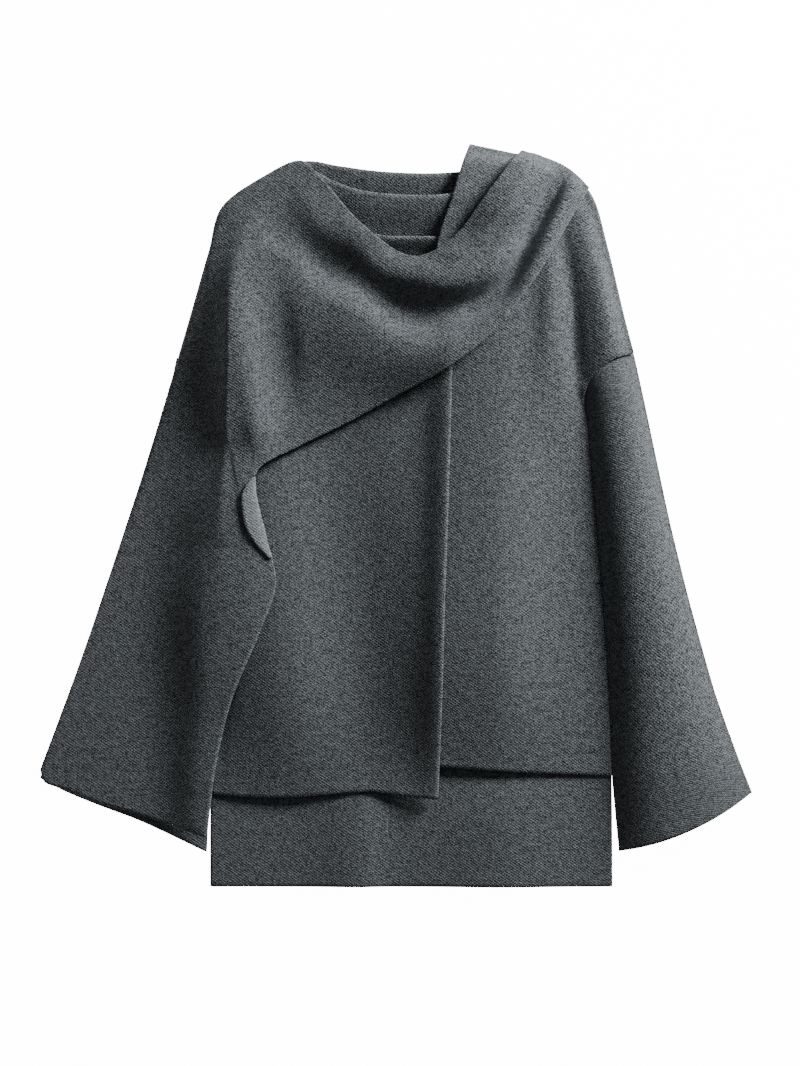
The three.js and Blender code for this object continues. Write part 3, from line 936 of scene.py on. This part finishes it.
def felted_knit():
    """Felted wool knit in a charcoal melange: soft V stitches under a short nap that blurs them, with painted
    shade on the stitches and a painted highlight along cut edges.
    """
    name = "felted_wool_knit"
    if name in bpy.data.materials:
        return bpy.data.materials[name]
    yarn = bpy.context.scene.yarn_settings
    knit = bpy.context.scene.knit_settings
    material = bpy.data.materials.new(name)
    material.use_nodes = True
    nodes = material.node_tree.nodes
    nodes.clear()

    def math(operation, *values):
        return add_node(material, "ShaderNodeMath", dict(enumerate(values)), operation=operation).outputs[0]

    def vector(operation, inputs):
        return add_node(material, "ShaderNodeVectorMath", inputs, operation=operation).outputs[0]

    def noise(scale, detail, **more):
        inputs = {"Vector": cut, "Scale": scale, "Detail": detail, **more}
        return add_node(material, "ShaderNodeTexNoise", inputs).outputs["Fac"]

    cut = add_node(material, "ShaderNodeUVMap", uv_map="cut").outputs["UV"]
    # The yarn wanders a little, so that no line of stitches is quite straight.
    wander = add_node(material, "ShaderNodeTexNoise", {"Vector": cut, "Scale": 70.0, "Detail": 2.0})
    sway = vector("ADD", {0: wander.outputs["Color"], 1: (-0.5, -0.5, -0.5)})
    sway = vector("SCALE", {0: sway, "Scale": 0.0022})
    wool = vector("ADD", {0: cut, 1: sway})
    axes = add_node(material, "ShaderNodeSeparateXYZ", {0: wool})
    across = math("DIVIDE", axes.outputs[0], knit.stitch_width * MM)
    up = math("DIVIDE", axes.outputs[1], knit.stitch_height * MM)
    # Loops sit between those of the next course, so that they line up along both diagonals.
    columns = math("COSINE", math("MULTIPLY", across, 6.2832))
    courses = math("COSINE", math("MULTIPLY", up, 6.2832))
    stitch = math("MULTIPLY_ADD", math("MULTIPLY", columns, courses), 0.5, 0.5)
    # Fibres about a millimetre long lie every way over the stitches.
    fibres = noise(800.0, 2.0, Roughness=0.6)
    tufts = noise(300.0, 1.0)
    cloudy = noise(110.0, 1.0)
    relief = math("ADD", math("MULTIPLY", stitch, 0.6), math("MULTIPLY", fibres, 0.9))
    relief = math("ADD", relief, math("MULTIPLY", tufts, 0.8))
    # The stitch pattern in the colour is painted shade and light on the loops; the fibres, tufts and clouds
    # are the melange's own tone.
    stitch_shade_and_melange = math("MULTIPLY_ADD", stitch, 0.38, -0.19)
    for fleck, weight in ((fibres, 2.5), (tufts, 0.95), (cloudy, 0.45)):
        stitch_shade_and_melange = math("ADD", stitch_shade_and_melange, math("MULTIPLY_ADD", fleck, weight, -0.5 * weight))
    mixed = math("ADD", stitch_shade_and_melange, 0.4)
    mixed = add_node(material, "ShaderNodeClamp", {"Value": mixed}).outputs[0]
    colour = add_node(
        material,
        "ShaderNodeMix",
        {0: mixed, "A": (*yarn.dark, 1), "B": (*yarn.light, 1)},
        data_type="RGBA",
    )
    # Cut edges and the cuff are painted paler: partly their bare fibres, partly a painted highlight along the
    # edge.
    near_edge = add_node(material, "ShaderNodeAttribute", attribute_name="rim").outputs["Fac"]
    frayed_and_highlight = math("MULTIPLY", near_edge, math("MULTIPLY_ADD", fibres, 1.2, -0.5))
    pale = add_node(
        material,
        "ShaderNodeMix",
        {0: frayed_and_highlight, "A": colour.outputs["Result"], "B": (*yarn.bare_edge_and_highlight, 1)},
        data_type="RGBA",
    )
    # The turned strip shows the cloth's reverse side.
    turned = add_node(material, "ShaderNodeAttribute", attribute_name="reverse").outputs["Fac"]
    turned = math("MULTIPLY", turned, math("MULTIPLY_ADD", mixed, 0.7, 0.2))
    pale = add_node(
        material,
        "ShaderNodeMix",
        {0: turned, "A": pale.outputs["Result"], "B": (*yarn.reverse, 1)},
        data_type="RGBA",
    )
    bump = add_node(material, "ShaderNodeBump", {"Height": relief, "Strength": 0.85, "Distance": 0.0011})
    surface = add_node(
        material,
        "ShaderNodeBsdfPrincipled",
        {
            "Base Color": pale.outputs["Result"],
            "Roughness": 0.92,
            "Normal": bump.outputs[0],
            "Specular IOR Level": 0.2,
            "Sheen Weight": 0.25,
            "Sheen Roughness": 0.5,
            "Sheen Tint": (*linear("c8d2dc"), 1),
        },
    )
    add_node(material, "ShaderNodeOutputMaterial", {"Surface": surface.outputs[0]})
    return material


class MESH_OT_poncho_back(bpy.types.Operator):
    """Lays the scarf's tucked end, the back and the back of the cape on the table"""

    bl_idname = "mesh.poncho_back"
    bl_label = "Back panels"

    def execute(self, context):
        knit = context.scene.knit_settings
        tail, size, area = lay_panel("scarf_end_knit", "scarf_tail", SCARF_TAIL, knit)
        back, size, area = lay_panel("back_knit", "back_panel", BACK, knit)
        cape, size, area = lay_panel("cape_back_knit", "cape_back", CAPE_BACK, knit, below=Bed())
        return {"FINISHED"}


class MESH_OT_poncho_sleeve(bpy.types.Operator):
    """Lays the wide left sleeve beside the body"""

    bl_idname = "mesh.poncho_sleeve"
    bl_label = "Left sleeve"

    def execute(self, context):
        sleeve, size = lay_sleeve("left_sleeve_knit", "left_sleeve", context.scene.knit_settings)
        return {"FINISHED"}


class MESH_OT_poncho_fronts(bpy.types.Operator):
    """Lays the two fronts, the right one over the left one"""

    bl_idname = "mesh.poncho_fronts"
    bl_label = "Wrapped fronts"

    def execute(self, context):
        knit = context.scene.knit_settings
        left, size, area = lay_panel("left_front_knit", "left_front", LEFT_FRONT, knit)
        right, size, area = lay_panel("right_front_knit", "right_front", RIGHT_FRONT, knit)
        return {"FINISHED"}


class MESH_OT_poncho_scarf(bpy.types.Operator):
    """Lays the cape and its scarf across the chest, with the scarf's inner pleat under it"""

    bl_idname = "mesh.poncho_scarf"
    bl_label = "Cape and scarf"

    def execute(self, context):
        knit = context.scene.knit_settings
        pleat, size, area = lay_panel("scarf_pleat_knit", "scarf_inner_pleat", SCARF_PLEAT, knit)
        cape, size, area = lay_panel(
            "cape_scarf_knit",
            "cape_and_scarf",
            CAPE_SCARF,
            knit,
            turned_edge=TURNED_EDGE,
        )
        return {"FINISHED"}


class SCENE_OT_poncho_stage(bpy.types.Operator):
    """Sets the table, the lamps and the camera straight above"""

    bl_idname = "scene.poncho_stage"
    bl_label = "Table, lamps and camera"

    def execute(self, context):
        stage = context.scene.stage_settings
        bpy.ops.mesh.primitive_plane_add(size=8, location=(0, 0, -0.0006))
        table = context.object
        table.name = "table_top"
        material = bpy.data.materials.new("white_laminate")
        material.use_nodes = True
        surface = material.node_tree.nodes["Principled BSDF"]
        surface.inputs["Base Color"].default_value = (*stage.table_colour, 1)
        surface.inputs["Roughness"].default_value = 0.7
        surface.inputs["Emission Color"].default_value = (1, 1, 1, 1)
        # The backdrop is lit on its own, far from the cloth: only the camera sees that light.
        seen = add_node(material, "ShaderNodeLightPath").outputs["Is Camera Ray"]
        glow = add_node(material, "ShaderNodeMath", {0: seen, 1: 14.0, 2: 0.6}, operation="MULTIPLY_ADD")
        material.node_tree.links.new(glow.outputs[0], surface.inputs["Emission Strength"])
        table.data.materials.append(material)

        camera = bpy.data.objects.new("camera_above", bpy.data.cameras.new("camera_above"))
        context.collection.objects.link(camera)
        camera.location = (0.0039, -0.0196, stage.camera_height)
        camera.data.lens = stage.lens
        camera.data.sensor_width = 36
        camera.data.clip_end = 50
        context.scene.camera = camera

        for name, place, power, size in (
            ("key_softbox", (1.80, 1.74, 0.93), stage.key_power, 0.8),
            ("overhead_softbox", (-0.3, 0.4, 2.6), stage.fill_power, 2.2),
        ):
            light = bpy.data.lights.new(name, "AREA")
            light.energy = power
            light.size = size
            lamp = bpy.data.objects.new(name, light)
            context.collection.objects.link(lamp)
            lamp.location = place
            lamp.rotation_euler = (-Vector(place)).to_track_quat("-Z", "Y").to_euler()
        world = bpy.data.worlds.new("white_room")
        world.use_nodes = True
        world.node_tree.nodes["Background"].inputs[0].default_value = (1, 1, 1, 1)
        world.node_tree.nodes["Background"].inputs[1].default_value = 0.06
        context.scene.world = world
        return {"FINISHED"}


class VIEW3D_PT_poncho(bpy.types.Panel):
    """Lists the pieces of the poncho sweater"""

    bl_idname = "VIEW3D_PT_poncho"
    bl_label = "Poncho sweater"
    bl_space_type = "VIEW_3D"
    bl_region_type = "UI"
    bl_category = "Poncho"

    def draw(self, context):
        for step in STEPS:
            self.layout.operator(step.bl_idname)


STEPS = (
    MESH_OT_poncho_back,
    MESH_OT_poncho_sleeve,
    MESH_OT_poncho_fronts,
    MESH_OT_poncho_scarf,
    SCENE_OT_poncho_stage,
)
CLASSES = (KnitSettings, YarnSettings, StageSettings, *STEPS, VIEW3D_PT_poncho)


def register():
    for each in CLASSES:
        bpy.utils.register_class(each)
    bpy.types.Scene.knit_settings = bpy.props.PointerProperty(type=KnitSettings)
    bpy.types.Scene.yarn_settings = bpy.props.PointerProperty(type=YarnSettings)
    bpy.types.Scene.stage_settings = bpy.props.PointerProperty(type=StageSettings)


def unregister():
    del bpy.types.Scene.stage_settings
    del bpy.types.Scene.yarn_settings
    del bpy.types.Scene.knit_settings
    for each in reversed(CLASSES):
        bpy.utils.unregister_class(each)


def main():
    register()
    bpy.ops.object.select_all(action="DESELECT")
    bpy.ops.mesh.poncho_back()
    bpy.ops.mesh.poncho_sleeve()
    bpy.ops.mesh.poncho_fronts()
    bpy.ops.mesh.poncho_scarf()
    bpy.ops.scene.poncho_stage()
    bpy.context.view_layer.update()


if __name__ == "__main__":
    main()
